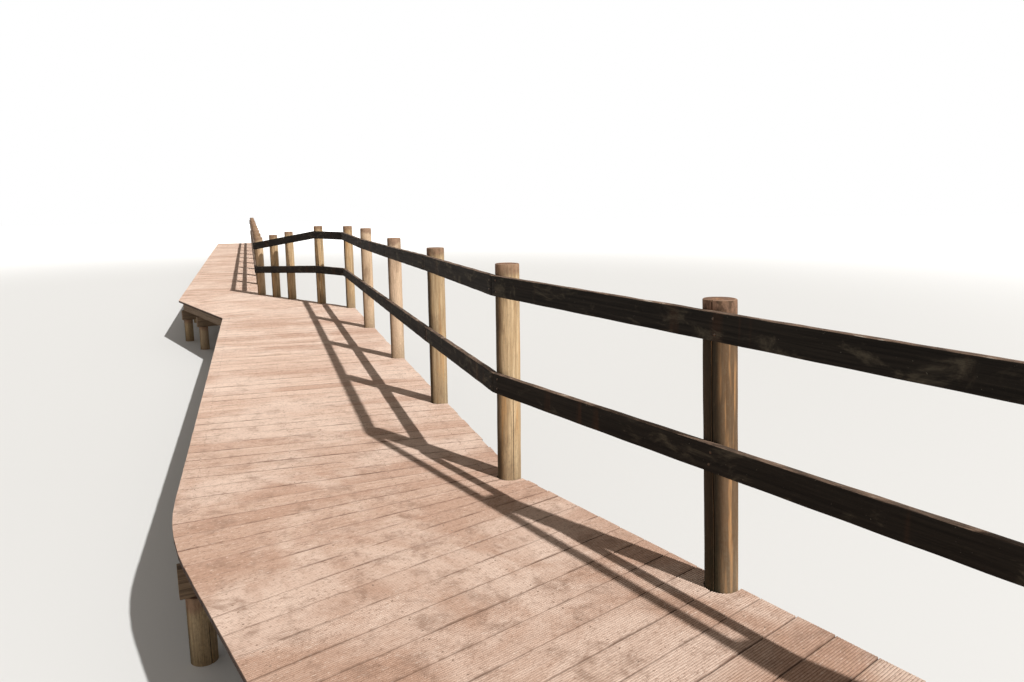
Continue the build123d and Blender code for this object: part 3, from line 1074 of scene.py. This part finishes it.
# The posts
def rail_flats(point):
    """Flats for the rails before and after a rail point, or a place between two of them."""
    before = int(np.ceil(point)) - 1
    after = int(np.floor(point))
    flats = []
    for plank, side in ((before, -1), (after, 1)):
        for level in RAILS_ABOVE_DECK:
            if 0 <= plank < last_rail_point:
                bottom = rail_bottom(level, point)
                flats.append((rail_headings[plank], side, bottom, bottom + RAIL_DEPTH))
    return flats


# The near posts' tones, whose darker values are partly the posts' own brown and partly painted
# shade of trees, and how far their checks are turned round them, in degrees
NEAR_POST_CHECKS = 5
NEAR_POST_TONES_AND_SHADE = (0.6, 1, 0.22, 0.62, 0, 0.08, 0.55)
NEAR_POST_TURNS = (0, -70, 52, 0, 0, 0, 0)

post_rng = np.random.default_rng(30)
for station, height in enumerate(NEAR_POSTS_ABOVE_DECK):
    lean = tan(radians(LEAN)) if station == LEANING_STATION else 0
    slope = forward(bay_headings[station]) * lean
    top = deck_top + height
    name = f"rail_post_{station + 1}"
    log = Timbers()
    flats = rail_flats(station)
    tone = NEAR_POST_TONES_AND_SHADE[station]
    turn = radians(NEAR_POST_TURNS[station])
    add_log(
        log, stations[station], 0, top, POST_RADIUS, post_rng, flats,
        NEAR_POST_CHECKS, slope, tone, turn,
    )
    log.piece(f"{name}_log", post_wood, "round_posts", [name])
bend_logs = Timbers()
for centre, along, height in zip(bend_post_centres, bend_along, BEND_POSTS_ABOVE_DECK):
    past_joint = (along - bend_along[0]) / (sum(BEND_LENGTHS) - bend_along[0])
    flats = rail_flats(bend_joint + past_joint)
    add_log(bend_logs, centre, 0, deck_top + height, POST_RADIUS, post_rng, flats)
bend_logs.piece("bend_post_logs", post_wood, "round_posts", ["bend_posts"])
far_logs = Timbers()
for station in range(near_bays + 1, bay_count + 1):
    top = deck_top + FAR_POSTS_ABOVE_DECK
    add_log(far_logs, stations[station], 0, top, POST_RADIUS, post_rng, rail_flats(station + 1))
far_logs.piece("far_post_logs", post_wood, "round_posts", ["far_posts"])


# The framing below the deck
JOIST_SEGMENT = 0.12
BEARER_SEGMENT = 0.1


def joist_corners(bay, number):
    """Plan corners of one of a bay's joists."""
    near_end = -BEARER_WIDTH / 2 if bay == 0 else JOIST_GAP / 2
    far_end = -BEARER_WIDTH / 2 if bay == bay_count - 1 else JOIST_GAP / 2
    middle = [joist_offset(number, station) for station in (bay, bay + 1)]
    inner = [offset - JOIST_WIDTH / 2 for offset in middle]
    outer = [offset + JOIST_WIDTH / 2 for offset in middle]
    return strip(bay, bay + 1, inner, outer, near_end, far_end)


mid_bend = len(bend_post_centres) // 2
bend_left = [across(bend_bay, NEAR_WIDTH), across(bend_bay + 1, FAR_WIDTH)]
mid_bend_line = (
    bend_post_centres[mid_bend],
    bend_left[0] + (bend_left[1] - bend_left[0]) * bend_along[mid_bend] / sum(BEND_LENGTHS),
)


def bearer_line(station):
    """The post centre and left edge point that a station's bearer joins."""
    return stations[station], across(station, width_at(station))


run_frames = {
    "near": (range(near_bays), [bearer_line(station) for station in range(near_bays)]),
    "bend": ([bend_bay], [bearer_line(bend_bay), mid_bend_line, bearer_line(bend_bay + 1)]),
    "far": (
        range(bend_bay + 1, bay_count),
        [bearer_line(station) for station in range(bend_bay + 2, bay_count + 1)],
    ),
}
framing_rng = np.random.default_rng(40)
for run, (bays, lines) in run_frames.items():
    joists = Timbers()
    bearers = Timbers()
    piles = Timbers()
    for bay in bays:
        for number in range(JOISTS_ACROSS):
            corners = joist_corners(bay, number)
            bottoms = (joist_bottom, joist_bottom)
            add_sawn(joists, corners, bottoms, JOIST_DEPTH, framing_rng, JOIST_SEGMENT)
    for post, edge_point in lines:
        leftward = unit(edge_point - post)
        side = -turned_left(leftward) * BEARER_WIDTH / 2
        start = post + leftward * (POST_RADIUS - BEARER_HOUSING)
        end = edge_point - leftward * BEARER_END_INSET
        corners = np.array([start - side, end - side, end + side, start + side])
        bottoms = (bearer_bottom, bearer_bottom)
        add_sawn(bearers, corners, bottoms, BEARER_DEPTH, framing_rng, BEARER_SEGMENT)
        centre = edge_point - leftward * PILE_INSET
        add_log(piles, centre, 0, bearer_bottom + PILE_INTO_BEARER, PILE_RADIUS, framing_rng)
    joists.piece(f"{run}_joist_timbers", framing_wood, "framing", [f"{run}_joists"])
    bearers.piece(f"{run}_bearer_timbers", framing_wood, "framing", [f"{run}_bearers"])
    piles.piece(f"{run}_pile_logs", post_wood, "piles", [f"{run}_piles"])

# Stage, light and camera
CAMERA_FROM_POST_3 = (0.02, -3.85)
CAMERA_ABOVE_DECK = 1.37
CAMERA_LENS = 28.125
CAMERA_PITCH = 10.01
CAMERA_ROLL = 0.62
SUN_FROM = (0.7, -0.72, 0.9)
SUN_STRENGTH = 3.95
SUN_ANGLE = 1
SKY_LIGHT = (0.255, 0.238, 0.22, 1)
WHITE = (1, 1, 1, 1)
FLOOR_REACH = 60
FLOOR_FADES = (8, 42)


def background_rays(tree):
    """1 on camera, glossy and transmission rays, which see the background, and 0 on all others."""
    path = tree.nodes.new("ShaderNodeLightPath")
    rays = path.outputs["Is Camera Ray"]
    for kind in ("Is Glossy Ray", "Is Transmission Ray"):
        both = tree.nodes.new("ShaderNodeMath")
        both.use_clamp = True
        tree.links.new(rays, both.inputs[0])
        tree.links.new(path.outputs[kind], both.inputs[1])
        rays = both.outputs[0]
    return rays


def make_floor():
    """A plain pale floor that fades to white far from the walk."""
    mesh = bpy.data.meshes.new("floor")
    signs = ((-1, -1), (1, -1), (1, 1), (-1, 1))
    corners = [(x * FLOOR_REACH, y * FLOOR_REACH, 0) for x, y in signs]
    mesh.from_pydata(corners, [], [(0, 1, 2, 3)])
    floor = new_object("floor", mesh)
    paint = Paint("floor_paint")
    far_off = paint.node("VectorMath", {0: paint.place()}, "Value", operation="LENGTH")
    glow = paint.times(paint.ease(far_off, *FLOOR_FADES), background_rays(paint.tree))
    paint.feed(paint.shader, {
        "Base Color": colour(226, 225, 222),
        "Roughness": 0.9,
        "Emission Color": WHITE,
        "Emission Strength": glow,
    })
    mesh.materials.append(paint.material)


def make_world():
    """Even sky light, a little warm, and a white background for the camera."""
    world = bpy.data.worlds.new("studio")
    bpy.context.scene.world = world
    world.use_nodes = True
    tree = world.node_tree
    background = tree.nodes["Background"]
    light = tree.nodes.new("ShaderNodeMix")
    light.data_type = "RGBA"
    light.inputs[6].default_value = SKY_LIGHT
    light.inputs[7].default_value = WHITE
    tree.links.new(background_rays(tree), light.inputs[0])
    tree.links.new(light.outputs[2], background.inputs["Color"])


def make_sun():
    """A soft lamp from the right, behind the camera."""
    lamp = bpy.data.lights.new("sun", "SUN")
    lamp.energy = SUN_STRENGTH
    lamp.angle = radians(SUN_ANGLE)
    sun = new_object("sun", lamp)
    sun.rotation_euler = Vector(SUN_FROM).to_track_quat("Z", "Y").to_euler()


def make_camera():
    """The photograph's view, from eye height above the near boards."""
    lens = bpy.data.cameras.new("camera")
    lens.lens = CAMERA_LENS
    camera = new_object("camera", lens)
    plan = stations[2] + np.array(CAMERA_FROM_POST_3)
    camera.matrix_world = (
        Matrix.Translation((*plan, deck_top + CAMERA_ABOVE_DECK))
        @ Matrix.Rotation(radians(90 - CAMERA_PITCH), 4, "X")
        @ Matrix.Rotation(radians(-CAMERA_ROLL), 4, "Z")
    )
    bpy.context.scene.camera = camera


make_floor()
make_world()
make_sun()
make_camera()
bpy.context.scene.view_settings.view_transform = "Standard"
